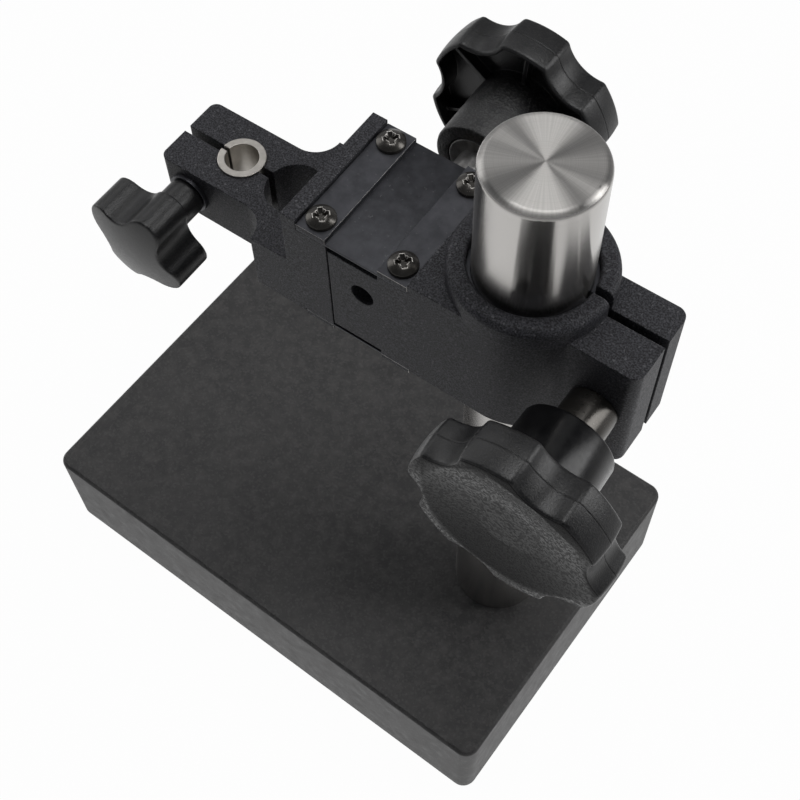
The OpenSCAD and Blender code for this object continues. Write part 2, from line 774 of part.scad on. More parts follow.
module stem_clamp_washer() {
    color(black_steel) on_arm() facing_front(-stem_clamp_reach, stem_arm_w / 2, stem_clamp_z) difference() {
        cylinder(d = clamp_washer_d, h = clamp_washer_t);
        translate([0, 0, -over])
            cylinder(r = clamp_screw_d / 2 + turn_fit, h = clamp_washer_t + 2 * over);
    }
}

module stem_clamp_screw() {
    front = clamp_hub_y + lobe_hub_l + lobe_knob_h / 2;
    back = stem_arm_w / 2 - over;
    color(steel) on_arm() facing_back(-stem_clamp_reach, -front, stem_clamp_z)
        cylinder(d = clamp_screw_d, h = front + back);
}

// Plan of the stem clamp knob: four round tips, joined by round valleys that touch them
module lobe_plan() {
    lobe_r = lobe_knob_d / 2;
    floor_r = lobe_r - lobe_valley;
    tip = lobe_r - lobe_tip_r;
    valley_r = (lobe_tip_r * lobe_tip_r - tip * tip + sqrt(2) * tip * floor_r - floor_r * floor_r)
        / (2 * floor_r - sqrt(2) * tip - 2 * lobe_tip_r) + lobe_cross;
    valley = floor_r + valley_r;
    difference() {
        union() {
            polygon([for (i = [0 : 7]) (i % 2 == 0 ? tip : valley) * [cos(45 * i), sin(45 * i)]]);
            for (i = [0 : 3]) rotate(90 * i) translate([tip, 0]) circle(lobe_tip_r);
        }
        for (i = [0 : 3]) rotate(90 * i + 45) translate([valley, 0]) circle(valley_r);
    }
}

module stem_clamp_knob() {
    top = lobe_hub_l + lobe_knob_h;
    lobe_r = lobe_knob_d / 2;
    ball = (lobe_r * lobe_r + lobe_knob_dome * lobe_knob_dome) / (2 * lobe_knob_dome);
    color(black_plastic) on_arm() facing_front(-stem_clamp_reach, clamp_hub_y, stem_clamp_z) difference() {
        union() {
            cylinder(d = lobe_hub_d, h = top - over);
            intersection() {
                translate([0, 0, lobe_hub_l]) rotate([0, 0, lobe_turn])
                    linear_extrude(lobe_knob_h + lobe_knob_dome) lobe_plan();
                rotate_extrude() intersection() {
                    square([lobe_r + over, top + lobe_knob_dome]);
                    translate([0, top + lobe_knob_dome - ball]) circle(ball);
                }
            }
        }
        translate([0, 0, -over])
            cylinder(r = clamp_screw_d / 2 + seat_fit, h = lobe_hub_l + lobe_knob_h / 2 + over + seat_fit);
    }
}

granite_base();
column();
column_bolt();
column_washer();
column_liner();
rear_block();
clamp_spacer();
clamp_stud();
clamp_knob();
clamp_knob_insert();
top_leaf();
bottom_leaf();
rear_clamp_bars();
rear_bar_screws();
shaft_bush();
fine_shaft();
fine_knob();
fine_knob_insert();
front_block();
front_clamp_bars();
front_bar_screws();
lift_tongue();
tongue_screw();
stem_bush();
stem_clamp_washer();
stem_clamp_screw();
stem_clamp_knob();
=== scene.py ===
# %% [markdown]
# This lesson dresses a comparator stand. The stand was drawn in CAD and packed as a set of solids, each
# on a named body that moves with a joint. We load those solids as a fixed frame, so that every piece we
# model in Blender already knows where it belongs: all lengths are metres in the frame of the CAD model.

# %% Load the frame
import json
import math
import bmesh
import bpy
from mathutils import Euler, Matrix, Vector


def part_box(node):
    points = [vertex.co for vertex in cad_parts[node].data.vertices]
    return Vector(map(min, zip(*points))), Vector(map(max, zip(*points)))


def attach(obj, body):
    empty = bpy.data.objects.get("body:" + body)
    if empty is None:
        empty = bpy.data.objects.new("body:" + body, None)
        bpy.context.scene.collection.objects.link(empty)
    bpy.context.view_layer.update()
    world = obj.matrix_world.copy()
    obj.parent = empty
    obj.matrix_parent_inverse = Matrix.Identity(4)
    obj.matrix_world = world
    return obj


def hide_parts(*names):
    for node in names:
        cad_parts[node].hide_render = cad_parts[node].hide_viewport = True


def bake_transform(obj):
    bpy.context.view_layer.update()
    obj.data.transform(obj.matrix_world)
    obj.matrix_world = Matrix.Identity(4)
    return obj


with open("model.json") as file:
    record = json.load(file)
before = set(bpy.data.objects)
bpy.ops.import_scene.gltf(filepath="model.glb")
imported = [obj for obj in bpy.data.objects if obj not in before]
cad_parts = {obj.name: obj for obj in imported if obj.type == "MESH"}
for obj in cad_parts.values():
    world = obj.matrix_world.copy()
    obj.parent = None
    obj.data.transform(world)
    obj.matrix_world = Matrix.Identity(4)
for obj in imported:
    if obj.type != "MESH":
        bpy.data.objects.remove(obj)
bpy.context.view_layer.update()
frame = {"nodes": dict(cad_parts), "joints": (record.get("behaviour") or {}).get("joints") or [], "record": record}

nodes_of_stand = frame["nodes"]
mm = 0.001

# %% [markdown]
# The camera comes first, because everything else is judged through it. It stands above the front right
# corner of the stand and looks steeply down on it, as the photographer did, so that the arm seems large
# and the granite plate seems small. Its place and its turn were worked out from the straight edges and
# the circles of the object, and they are plain numbers here.

# %% Camera
CAMERA_PLACE = Vector((0.15477, -0.167052, 0.492994))
CAMERA_TURN = (29.86192, 0.97109, 36.83)
CAMERA_LENS = 60.363
SENSOR = 36.0

camera_data = bpy.data.cameras.new("photo_camera")
camera_data.lens = CAMERA_LENS
camera_data.sensor_width = SENSOR
camera_data.clip_start = 0.01
camera = bpy.data.objects.new("photo_camera", camera_data)
camera.location = CAMERA_PLACE
camera.rotation_euler = Euler([math.radians(a) for a in CAMERA_TURN], "XYZ")
bpy.context.scene.collection.objects.link(camera)
bpy.context.scene.camera = camera
print("camera lens", CAMERA_LENS, "mm")

# %% [markdown]
# Floor, room and finishes are all small trees of shader nodes. A node is added, its settings are chosen,
# and each of its sockets gets either a fixed value or a link from another node. One helper does all of
# that in a single line, so that the trees below can be read from top to bottom. A second one makes a soft
# step between two values, which the floor and the room both need.

# %% Helpers for node trees
def add_node(tree, kind, sockets=None, **settings):
    """A node of that kind, with its settings, and values or links for its sockets."""
    node = tree.nodes.new(kind)
    for key, value in settings.items():
        setattr(node, key, value)
    for key, value in (sockets or {}).items():
        if isinstance(value, bpy.types.NodeSocket):
            tree.links.new(value, node.inputs[key])
        else:
            node.inputs[key].default_value = value
    return node


def smooth_step(tree, value, low, high, to_low, to_high):
    """The value moved from one range into another, with a soft start and end."""
    sockets = {"Value": value, "From Min": low, "From Max": high, "To Min": to_low, "To Max": to_high}
    node = add_node(tree, "ShaderNodeMapRange", sockets, interpolation_type="SMOOTHSTEP")
    return node.outputs["Result"]


print("helpers for node trees are ready")

# %% [markdown]
# The stand is small and mostly black, and black things show their shape by what they mirror. So the
# studio is simple: a floor that glows white near the stand and fades slowly to grey with the distance, a
# painted pool of light, and a room that is pale round the horizon and dim overhead. The camera and mirrors
# see the floor glow as plain white, with only a trace of its matt surface, so the shadow of the stand on it
# is too faint to see. Light that bounces softly from the floor comes from the matt surface alone.

# %% Floor
FLOOR_WHITE = (1.0, 1.0, 1.0, 1.0)
FLOOR_MATT = (0.5, 0.5, 0.5, 1.0)
FLOOR_SHARE_OF_WHITE = 0.98
FLOOR_SIZE = 6.0
WHITE_CENTRE = (-0.06, 0.10, 0.0)
WHITE_WITHIN, GREY_BEYOND, FAR_GREY = 0.28, 0.9, 0.45

bpy.ops.object.select_all(action="DESELECT")
bpy.ops.mesh.primitive_plane_add(size=FLOOR_SIZE, location=(0, 0, 0))
floor = bpy.context.active_object
floor.name = "studio_floor"
floor_finish = bpy.data.materials.new("studio_floor")
floor_finish.use_nodes = True
tree = floor_finish.node_tree
tree.nodes.clear()
spot = add_node(tree, "ShaderNodeTexCoord").outputs["Object"]
away = add_node(tree, "ShaderNodeVectorMath", {0: spot, 1: WHITE_CENTRE}, operation="DISTANCE")
# painted pool of light: the floor's glow fades from white near the stand to grey far away
painted_pool_fade = smooth_step(tree, away.outputs["Value"], WHITE_WITHIN, GREY_BEYOND, 1.0, FAR_GREY)
glow = add_node(tree, "ShaderNodeEmission", {"Color": FLOOR_WHITE, "Strength": painted_pool_fade})
matt = add_node(tree, "ShaderNodeBsdfDiffuse", {"Color": FLOOR_MATT})
path = add_node(tree, "ShaderNodeLightPath")
seen = path.outputs["Is Camera Ray"]
for kind in ("Is Glossy Ray", "Is Transmission Ray"):
    seen = add_node(tree, "ShaderNodeMath", {0: seen, 1: path.outputs[kind]}, operation="MAXIMUM").outputs[0]
share = add_node(tree, "ShaderNodeMath", {0: seen, 1: FLOOR_SHARE_OF_WHITE}, operation="MULTIPLY")
blend_floor = add_node(tree, "ShaderNodeMixShader",
                       {0: share.outputs[0], 1: matt.outputs[0], 2: glow.outputs[0]})
add_node(tree, "ShaderNodeOutputMaterial", {"Surface": blend_floor.outputs[0]})
floor.data.materials.append(floor_finish)
print("floor:", FLOOR_SIZE, "m wide, white within", WHITE_WITHIN, "m")

# %% [markdown]
# The room round the floor is only a colour that depends on the direction. The world shader knows that
# direction as a vector, and its height tells how far up we look, so a smooth step from pale to dim is
# all that it takes. The Standard view transform shows colours about as they are written.

# %% World
ROOM_LOW, ROOM_HIGH = (0.38, 0.38, 0.39, 1.0), (0.05, 0.052, 0.057, 1.0)
PALE_BELOW, DIM_ABOVE = 0.05, 0.55

world = bpy.data.worlds.new("studio_world")
bpy.context.scene.world = world
world.use_nodes = True
tree = world.node_tree
tree.nodes.clear()
direction = add_node(tree, "ShaderNodeTexCoord").outputs["Generated"]
height = add_node(tree, "ShaderNodeSeparateXYZ", {0: direction}).outputs["Z"]
rise = smooth_step(tree, height, PALE_BELOW, DIM_ABOVE, 0.0, 1.0)
room_tone = add_node(tree, "ShaderNodeMix", data_type="RGBA")
tree.links.new(rise, room_tone.inputs[0])
room_tone.inputs[6].default_value = ROOM_LOW
room_tone.inputs[7].default_value = ROOM_HIGH
room = add_node(tree, "ShaderNodeBackground", {"Color": room_tone.outputs[2]})
add_node(tree, "ShaderNodeOutputWorld", {"Surface": room.outputs[0]})
bpy.context.scene.view_settings.view_transform = "Standard"
print("world:", world.name, "with the view transform Standard")

# %% [markdown]
# Five soft boxes light the stand, none of them from the front, so the hollows that face the camera stay
# dark. One hangs high over the column, in the plane of the view: the rings of the column's top spread it
# into two bright sectors. A wide dim one stands where flat tops mirror it to the camera. One at the left
# and one at the right draw long bands on the round pieces, and a small one puts a gleam on the lobes.

# %% Lamps
STAND_MIDDLE = Vector((0.03, 0.0, 0.17))
COLUMN_TOP = Vector((0.064, 0.0, 0.268))


def soft_box(name, place, size, power, aim=STAND_MIDDLE):
    """A rectangular lamp at a place, turned towards the stand."""
    data = bpy.data.lights.new(name, "AREA")
    data.shape = "RECTANGLE"
    data.size, data.size_y = size
    data.energy = power
    lamp = bpy.data.objects.new(name, data)
    lamp.location = place
    lamp.rotation_euler = (aim - Vector(place)).to_track_quat("-Z", "Y").to_euler()
    bpy.context.scene.collection.objects.link(lamp)
    return lamp


soft_box("lamp_above", (0.001, 0.125, 1.268), (0.6, 0.42), 3.6, COLUMN_TOP)
soft_box("lamp_behind", (-0.32, 0.66, 1.05), (1.0, 0.75), 0.75)
soft_box("lamp_left", (-0.92, -0.05, 0.55), (0.45, 0.8), 1.6)
soft_box("lamp_lobes", (-0.70, 0.34, 0.83), (0.36, 0.42), 0.65)
soft_box("lamp_right", (0.75, 0.55, 0.75), (0.4, 0.8), 4.0)

# %% [markdown]
# Every finish of the stand starts from the Principled shader, and reads Object coordinates, so that a
# grain keeps its real size: a noise scale of 1000 means about one lump per millimetre. These helpers only
# save typing: they add the few kinds of pattern that most finishes share.

# %% Helpers for finishes
def start_finish(name):
    """A new material with its tree and its Principled shader."""
    finish = bpy.data.materials.new(name)
    finish.use_nodes = True
    return finish, finish.node_tree, finish.node_tree.nodes["Principled BSDF"]


def place_in(tree):
    """The Object coordinates of the surface."""
    return add_node(tree, "ShaderNodeTexCoord").outputs["Object"]


def lumps(tree, place, scale, detail=2.0, rough=0.5):
    """Soft noise, whose lumps are about a metre divided by the scale wide."""
    sockets = {"Vector": place, "Scale": scale, "Detail": detail, "Roughness": rough}
    return add_node(tree, "ShaderNodeTexNoise", sockets).outputs["Fac"]


def spread(tree, value, low, high, to_low=0.0, to_high=1.0):
    """The value moved from one range into another, and kept inside it."""
    sockets = {"Value": value, "From Min": low, "From Max": high, "To Min": to_low, "To Max": to_high}
    return add_node(tree, "ShaderNodeMapRange", sockets).outputs["Result"]


def mixed(tree, amount, first, second):
    """A colour between two others."""
    node = add_node(tree, "ShaderNodeMix", data_type="RGBA")
    for socket, value in ((0, amount), (6, first), (7, second)):
        if isinstance(value, bpy.types.NodeSocket):
            tree.links.new(value, node.inputs[socket])
        else:
            node.inputs[socket].default_value = value
    return node.outputs[2]


def bumped(tree, height, strength, distance, under=None):
    """A normal that is raised by a height pattern."""
    sockets = {"Height": height, "Strength": strength, "Distance": distance}
    if under is not None:
        sockets["Normal"] = under
    return add_node(tree, "ShaderNodeBump", sockets).outputs["Normal"]


def rounded_edge(tree, radius):
    """A normal that runs softly round the sharp edges of a solid."""
    return add_node(tree, "ShaderNodeBevel", {"Radius": radius}, samples=6).outputs["Normal"]


def edge_share(tree, radius, low=0.02, high=0.25):
    """0 on a flat face and up to 1 on its edges, from how far a rounded normal leans."""
    leaning = rounded_edge(tree, radius)
    flat = add_node(tree, "ShaderNodeNewGeometry").outputs["True Normal"]
    dot = add_node(tree, "ShaderNodeVectorMath", {0: leaning, 1: flat}, operation="DOT_PRODUCT")
    return spread(tree, dot.outputs["Value"], 1.0 - low, 1.0 - high)


print("helpers for finishes are ready")

# %% [markdown]
# The plate is dark granite with a honed top. Close up it is a patchwork of grains less than a millimetre
# wide: most are nearly black, some are grey, and a few feldspar specks are lighter. Soft blotches a few
# millimetres wide lie over the grains, so that no two places of the plate look alike.

# %% Granite
granite, tree, shader = start_finish("honed_granite")
place = place_in(tree)
clouds = lumps(tree, place, 42.0, 2.0, 0.5)
blotches = lumps(tree, place, 210.0, 3.0, 0.6)
grains = add_node(tree, "ShaderNodeTexVoronoi", {"Vector": place, "Scale": 1300.0})
grain_tone = add_node(tree, "ShaderNodeSeparateColor", {"Color": grains.outputs["Color"]}).outputs[0]
cloud_tone = mixed(tree, spread(tree, clouds, 0.3, 0.7), (0.020, 0.0195, 0.020, 1), (0.032, 0.031, 0.031, 1))
base_tone = mixed(tree, spread(tree, blotches, 0.42, 0.72), cloud_tone, (0.056, 0.054, 0.053, 1))
grain_colour = mixed(tree, spread(tree, grain_tone, 0.6, 1.0, 0.0, 0.35), base_tone, (0.095, 0.092, 0.09, 1))
pale_specks = spread(tree, lumps(tree, place, 2600.0, 2.0), 0.62, 0.76, 0.0, 0.35)
tree.links.new(mixed(tree, pale_specks, grain_colour, (0.13, 0.128, 0.125, 1)), shader.inputs["Base Color"])
tree.links.new(spread(tree, blotches, 0.3, 0.7, 0.46, 0.60), shader.inputs["Roughness"])
stone_bump = bumped(tree, lumps(tree, place, 1500.0, 3.0), 0.12, 0.00015, rounded_edge(tree, 0.0006))
tree.links.new(stone_bump, shader.inputs["Normal"])
shader.inputs["IOR"].default_value = 1.5
print("finish:", granite.name)

# %% [markdown]
# The arm's two blocks have a black powder coat with a fine sand grain. The grain is what makes them look
# soft and a little grey from above. Edges are rubbed: the coat is thinner there and catches more light.

# %% Sand-grained black coat
coat, tree, shader = start_finish("black_sand_coat")
place = place_in(tree)
sand = lumps(tree, place, 2300.0, 2.0, 0.6)
tone = mixed(tree, spread(tree, sand, 0.40, 0.66), (0.018, 0.018, 0.020, 1), (0.070, 0.070, 0.079, 1))
fleck = add_node(tree, "ShaderNodeTexVoronoi", {"Vector": place, "Scale": 2100.0})
fleck_tone = add_node(tree, "ShaderNodeSeparateColor", {"Color": fleck.outputs["Color"]}).outputs[1]
tone = mixed(tree, spread(tree, fleck_tone, 0.955, 0.99, 0.0, 0.6), tone, (0.14, 0.14, 0.15, 1))
rub = add_node(tree, "ShaderNodeMath", {0: edge_share(tree, 0.0005), 1: spread(tree, sand, 0.54, 0.68)},
               operation="MULTIPLY").outputs[0]
tree.links.new(mixed(tree, rub, tone, (0.26, 0.26, 0.27, 1)), shader.inputs["Base Color"])
tree.links.new(spread(tree, sand, 0.3, 0.7, 0.60, 0.46), shader.inputs["Roughness"])
shader.inputs["Specular IOR Level"].default_value = 0.2
coat_bump = bumped(tree, sand, 0.5, 0.00012, rounded_edge(tree, 0.0005))
tree.links.new(coat_bump, shader.inputs["Normal"])
print("finish:", coat.name)

# %% [markdown]
# The leaf springs and the bars are steel with a black oxide skin. It is thin and smooth, so the metal
# underneath still gives a gleam. The spacer and the screws have the same skin, only glossier, so one
# function makes all of them. On edges the skin wears to bright metal, which is a finish of its own; on the
# bars' bevels this bright metal is partly wear and partly a painted highlight.

# %% Black oxide steel
def oxide_steel(name, dark, light, rough, metal=0.7):
    """Steel with a thin black skin in soft clouds."""
    finish, tree, shader = start_finish(name)
    place = place_in(tree)
    cloud = lumps(tree, place, 260.0, 3.0, 0.6)
    fine = lumps(tree, place, 3000.0, 2.0)
    # pale specks scattered at random over the skin
    pale_specks = spread(tree, lumps(tree, place, 1100.0, 2.0), 0.68, 0.78, 0.0, 0.3)
    tone = mixed(tree, spread(tree, cloud, 0.35, 0.65), dark, light)
    tree.links.new(mixed(tree, pale_specks, tone, (0.22, 0.22, 0.22, 1)), shader.inputs["Base Color"])
    tree.links.new(spread(tree, cloud, 0.3, 0.7, rough - 0.05, rough + 0.05), shader.inputs["Roughness"])
    shader.inputs["Metallic"].default_value = metal
    tree.links.new(bumped(tree, fine, 0.08, 0.00005, rounded_edge(tree, 0.0003)), shader.inputs["Normal"])
    return finish


oxide = oxide_steel("black_oxide_steel", (0.056, 0.057, 0.064, 1), (0.078, 0.079, 0.088, 1), 0.40)
glossy_oxide = oxide_steel("glossy_oxide_steel", (0.070, 0.066, 0.060, 1), (0.100, 0.094, 0.086, 1), 0.24)
leaf_oxide = oxide_steel("leaf_spring_steel", (0.040, 0.041, 0.046, 1), (0.058, 0.059, 0.066, 1), 0.40)
# bright edge metal: wear on the screws' recess rims, and on the bars partly wear and partly a painted highlight
wear_and_highlight_edge = oxide_steel("wear_and_highlight_steel", (0.50, 0.48, 0.45, 1), (0.85, 0.82, 0.78, 1), 0.42, 0.4)
print("finishes:", oxide.name, glossy_oxide.name, leaf_oxide.name, wear_and_highlight_edge.name)

# %% [markdown]
# The column was ground while it turned, and its top was faced, so fine rings run round both. Such rings
# spread the light across themselves: a lamp becomes a long band on the side and a fan on the top. The shader
# makes both from one anisotropic metal whose tangent runs round the column, and a pattern of thin rings
# that depends on the height and on the distance from the axis. Faint dark stripes like spokes are painted on
# the top, a painted reflection of the rows of a striped lamp, and there is a duller spot in its middle, where
# the metal moves slowly past the tool.

# %% Ground steel of the column
column_low, column_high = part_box("column")
COLUMN_AXIS = (column_low + column_high) / 2
QUARTER_TURN = 0.25


def ground_steel(name, rough, stretch, stripe_and_spot_depth):
    """Bright steel with fine rings round the column's axis, which stretch a highlight across them, and painted
    reflection stripes like spokes.
    """
    finish, tree, shader = start_finish(name)
    place = place_in(tree)
    centred = add_node(tree, "ShaderNodeMapping", {"Vector": place, "Location": (-COLUMN_AXIS.x, 0, 0)})
    parts = add_node(tree, "ShaderNodeSeparateXYZ", {"Vector": centred.outputs[0]})
    flat_place = add_node(tree, "ShaderNodeCombineXYZ", {"X": parts.outputs["X"], "Y": parts.outputs["Y"]})
    radius = add_node(tree, "ShaderNodeVectorMath", {0: flat_place.outputs[0]}, operation="LENGTH")
    along = add_node(tree, "ShaderNodeMath", {0: radius.outputs["Value"], 1: parts.outputs["Z"]},
                     operation="ADD")
    rings = add_node(tree, "ShaderNodeTexNoise", {"W": along.outputs[0], "Scale": 5200.0, "Detail": 3.0},
                     noise_dimensions="1D").outputs["Fac"]
    tone = mixed(tree, spread(tree, rings, 0.3, 0.7), (0.44, 0.427, 0.41, 1), (0.53, 0.517, 0.50, 1))
    angle = add_node(tree, "ShaderNodeMath", {0: parts.outputs["Y"], 1: parts.outputs["X"]},
                     operation="ARCTAN2")
    # painted reflection: darker and lighter stripes like spokes, the rows of a striped lamp mirrored in the top
    painted_reflection_stripes = add_node(tree, "ShaderNodeTexNoise", {"W": angle.outputs[0], "Scale": 21.0, "Detail": 1.0},
                      noise_dimensions="1D").outputs["Fac"]
    middle_spot = spread(tree, radius.outputs["Value"], 0.0056, 0.0064, 0.45 * stripe_and_spot_depth, 0.0)
    painted_stripes = spread(tree, painted_reflection_stripes, 0.38, 0.62, 0.0, stripe_and_spot_depth)
    stripes_and_spot = add_node(tree, "ShaderNodeMath", {0: painted_stripes, 1: middle_spot}, operation="MAXIMUM").outputs[0]
    tone = mixed(tree, stripes_and_spot, tone, (0.32, 0.31, 0.295, 1))
    tree.links.new(tone, shader.inputs["Base Color"])
    tree.links.new(spread(tree, rings, 0.3, 0.7, rough - 0.02, rough + 0.02), shader.inputs["Roughness"])
    shader.inputs["Metallic"].default_value = 1.0
    shader.inputs["Anisotropic"].default_value = stretch
    shader.inputs["Anisotropic Rotation"].default_value = QUARTER_TURN
    around_axis = add_node(tree, "ShaderNodeVectorMath", {0: (0, 0, 1), 1: flat_place.outputs[0]},
                           operation="CROSS_PRODUCT")
    tree.links.new(around_axis.outputs[0], shader.inputs["Tangent"])
    tree.links.new(bumped(tree, rings, 0.04, 0.00002), shader.inputs["Normal"])
    return finish


ground_side = ground_steel("ground_column_side", 0.21, 0.85, 0.0)
ground_top = ground_steel("turned_column_top", 0.34, 1.0, 0.3)
print("finishes:", ground_side.name, ground_top.name, "around x =", round(COLUMN_AXIS.x, 4))

# %% [markdown]
# The smaller bright pieces are turned steel, nickel and bronze. They differ only in colour and gloss, so
# one function makes all three: a metal with a faint cloud of tone and fine scratches in it.

# %% Turned metals
def turned_metal(name, dark, light, rough):
    """A bright metal with soft clouds and fine scratches."""
    finish, tree, shader = start_finish(name)
    place = place_in(tree)
    cloud = lumps(tree, place, 420.0, 3.0, 0.6)
    fine = lumps(tree, place, 5200.0, 2.0)
    tree.links.new(mixed(tree, spread(tree, cloud, 0.3, 0.7), dark, light), shader.inputs["Base Color"])
    tree.links.new(spread(tree, fine, 0.3, 0.7, rough - 0.05, rough + 0.08), shader.inputs["Roughness"])
    shader.inputs["Metallic"].default_value = 1.0
    tree.links.new(bumped(tree, fine, 0.07, 0.00003, rounded_edge(tree, 0.0003)), shader.inputs["Normal"])
    return finish


plain_steel = turned_metal("turned_steel", (0.20, 0.195, 0.19, 1), (0.34, 0.335, 0.33, 1), 0.34)
nickel = turned_metal("nickel_bush", (0.42, 0.40, 0.37, 1), (0.53, 0.505, 0.47, 1), 0.36)
bronze = turned_metal("bronze_bush", (0.42, 0.29, 0.13, 1), (0.56, 0.40, 0.20, 1), 0.32)
print("finishes:", plain_steel.name, nickel.name, bronze.name)

# %% [markdown]
# The knobs are black moulded plastic. The mould left several surfaces: a satin one where fingers hold the
# rim, a coarse spark-eroded grain on the dished front, and a hub that is smooth on the front knob and
# pebbled on the back one. They share a function. What differs is the size and the height of the grain,
# the roughness, how much duller the grain's tops are, the share of painted glints on those tops and the gloss.

# %% Moulded plastics
def moulded_plastic(name, scale, height, rough, dull, painted_glint_share, gloss):
    """Black plastic with a moulded grain, whose tops are duller and carry painted glints in a lighter tone."""
    finish, tree, shader = start_finish(name)
    place = place_in(tree)
    grain = lumps(tree, place, scale, 2.0, 0.6)
    haze = lumps(tree, place, 160.0, 3.0, 0.6)
    tone = mixed(tree, spread(tree, haze, 0.35, 0.65), (0.004, 0.004, 0.0045, 1), (0.009, 0.009, 0.0095, 1))
    # painted glints: a lighter tone on the grain's tops
    top = spread(tree, grain, 0.50, 0.60, 0.0, painted_glint_share)
    tree.links.new(mixed(tree, top, tone, (0.36, 0.355, 0.35, 1)), shader.inputs["Base Color"])
    tree.links.new(spread(tree, grain, 0.42, 0.58, rough, rough + dull), shader.inputs["Roughness"])
    shader.inputs["Specular IOR Level"].default_value = gloss
    tree.links.new(bumped(tree, grain, 1.0, height, rounded_edge(tree, 0.0006)), shader.inputs["Normal"])
    return finish


satin_plastic = moulded_plastic("satin_black_plastic", 2400.0, 0.00006, 0.32, 0.10, 0.03, 0.5)
grained_plastic = moulded_plastic("grained_black_plastic", 1250.0, 0.00003, 0.17, 0.32, 0.06, 0.08)
pebbled_plastic = moulded_plastic("pebbled_black_plastic", 1500.0, 0.00014, 0.40, 0.10, 0.09, 0.5)
smooth_plastic = moulded_plastic("smooth_black_plastic", 900.0, 0.000006, 0.22, 0.05, 0.0, 0.34)
print("finishes:", satin_plastic.name, grained_plastic.name, pebbled_plastic.name, smooth_plastic.name)

# %% [markdown]
# Each solid of the frame now gets its finish. The solids keep their shapes: only their material slots
# change.

# %% Dress the solids
finish_of_slot = {
    "granite": granite,
    "column_steel": ground_side,
    "plain_steel": plain_steel,
    "bright_steel": nickel,
    "black_steel": oxide,
    "black_coat": coat,
    "black_plastic": satin_plastic,
    "bronze": bronze,
}
slot_of_node = {row["node"]: row["material_slot"] for row in frame["record"]["subparts"]}
for name, solid in nodes_of_stand.items():
    solid.data.materials.clear()
    solid.data.materials.append(finish_of_slot[slot_of_node[name]])
print("dressed:", len(slot_of_node), "solids")

# %% [markdown]
# Now come the pieces that deserve more form than the bare solids have. All of them are shaped with the
# operators that you would use by hand. An operator acts on everything that is selected, so each helper
# first deselects everything and then picks its own piece, or the edges and faces that a test names.

# %% Helpers for modelling
def only(piece=None):
    """Leaves edit mode, deselects everything and makes one piece the active one."""
    if bpy.context.mode != "OBJECT":
        bpy.ops.object.mode_set(mode="OBJECT")
    bpy.ops.object.select_all(action="DESELECT")
    if piece is not None:
        piece.select_set(True)
        bpy.context.view_layer.objects.active = piece


def pick(piece, kind, test):
    """Enters edit mode with just those edges or faces selected that the test picks."""
    only(piece)
    bpy.ops.object.mode_set(mode="EDIT")
    bpy.ops.mesh.select_mode(type=kind)
    bpy.ops.mesh.select_all(action="DESELECT")
    shape = bmesh.from_edit_mesh(piece.data)
    for part in (shape.edges if kind == "EDGE" else shape.faces):
        if test(part):
            part.select_set(True)
    bmesh.update_edit_mesh(piece.data)


def use_on(piece, slot, test):
    """Gives the faces that the test picks the material of a slot."""
    pick(piece, "FACE", test)
    piece.active_material_index = slot
    bpy.ops.object.material_slot_assign()


def copy_of(name, mesh):
    """A new object with its own copy of a mesh."""
    piece = bpy.data.objects.new(name, mesh.copy())
    bpy.context.scene.collection.objects.link(piece)
    return piece


def is_sharp(edge, above=30):
    """Whether two faces meet at this edge by more than so many degrees."""
    return len(edge.link_faces) == 2 and edge.calc_face_angle() > math.radians(above)


def middle(edge):
    """The point halfway along an edge."""
    return (edge.verts[0].co + edge.verts[1].co) / 2


def turned(name, profile, corners=96):
    """A solid on the Z axis: a disc that is extruded and resized from ring to ring, in millimetres."""
    only()
    radius, height = profile[0]
    bpy.ops.mesh.primitive_circle_add(vertices=corners, radius=radius * mm, fill_type="NGON",
                                      location=(0, 0, height * mm))
    piece = bpy.context.active_object
    piece.name = name
    bpy.ops.object.transform_apply(location=True, rotation=True, scale=True)
    bpy.ops.object.mode_set(mode="EDIT")
    bpy.ops.mesh.select_all(action="SELECT")
    for next_radius, next_height in profile[1:]:
        rise = (0, 0, (next_height - height) * mm)
        bpy.ops.mesh.extrude_region_move(TRANSFORM_OT_translate={"value": rise})
        widen = next_radius / radius
        bpy.ops.transform.resize(value=(widen, widen, 1), center_override=(0, 0, next_height * mm))
        radius, height = next_radius, next_height
    bpy.ops.mesh.select_all(action="SELECT")
    bpy.ops.mesh.normals_make_consistent(inside=False)
    bpy.ops.object.mode_set(mode="OBJECT")
    return piece


def brick(name, low, high):
    """A box between two corners, in millimetres, from the cube primitive."""
    only()
    low, high = Vector(low) * mm, Vector(high) * mm
    bpy.ops.mesh.primitive_cube_add(size=1, location=(low + high) / 2, scale=high - low)
    piece = bpy.context.active_object
    piece.name = name
    bpy.ops.object.transform_apply(location=True, rotation=True, scale=True)
    return piece


def put(piece, matrix):
    """Moves a piece and leaves the move in its mesh, so that its object stays at the origin."""
    only(piece)
    piece.matrix_world = matrix
    bpy.ops.object.transform_apply(location=True, rotation=True, scale=True)
    return piece


def finish_with(piece, kind, **settings):
    """Adds a modifier of that kind and applies it."""
    only(piece)
    change = piece.modifiers.new(kind.lower(), kind)
    for key, value in settings.items():
        setattr(change, key, value)
    bpy.ops.object.modifier_apply(modifier=change.name)


def cut(piece, tool, operation="DIFFERENCE"):
    """Takes a tool out of a piece, or joins it to the piece, and removes the tool."""
    finish_with(piece, "BOOLEAN", object=tool, operation=operation, solver="EXACT")
    bpy.data.objects.remove(tool)


def soften(piece, angle=35):
    """Shades a piece smooth, except across edges that are sharper than the angle."""
    only(piece)
    bpy.ops.object.shade_smooth_by_angle(angle=math.radians(angle))


def about_z(degrees):
    """A turn about the Z axis."""
    return Matrix.Rotation(math.radians(degrees), 4, "Z")


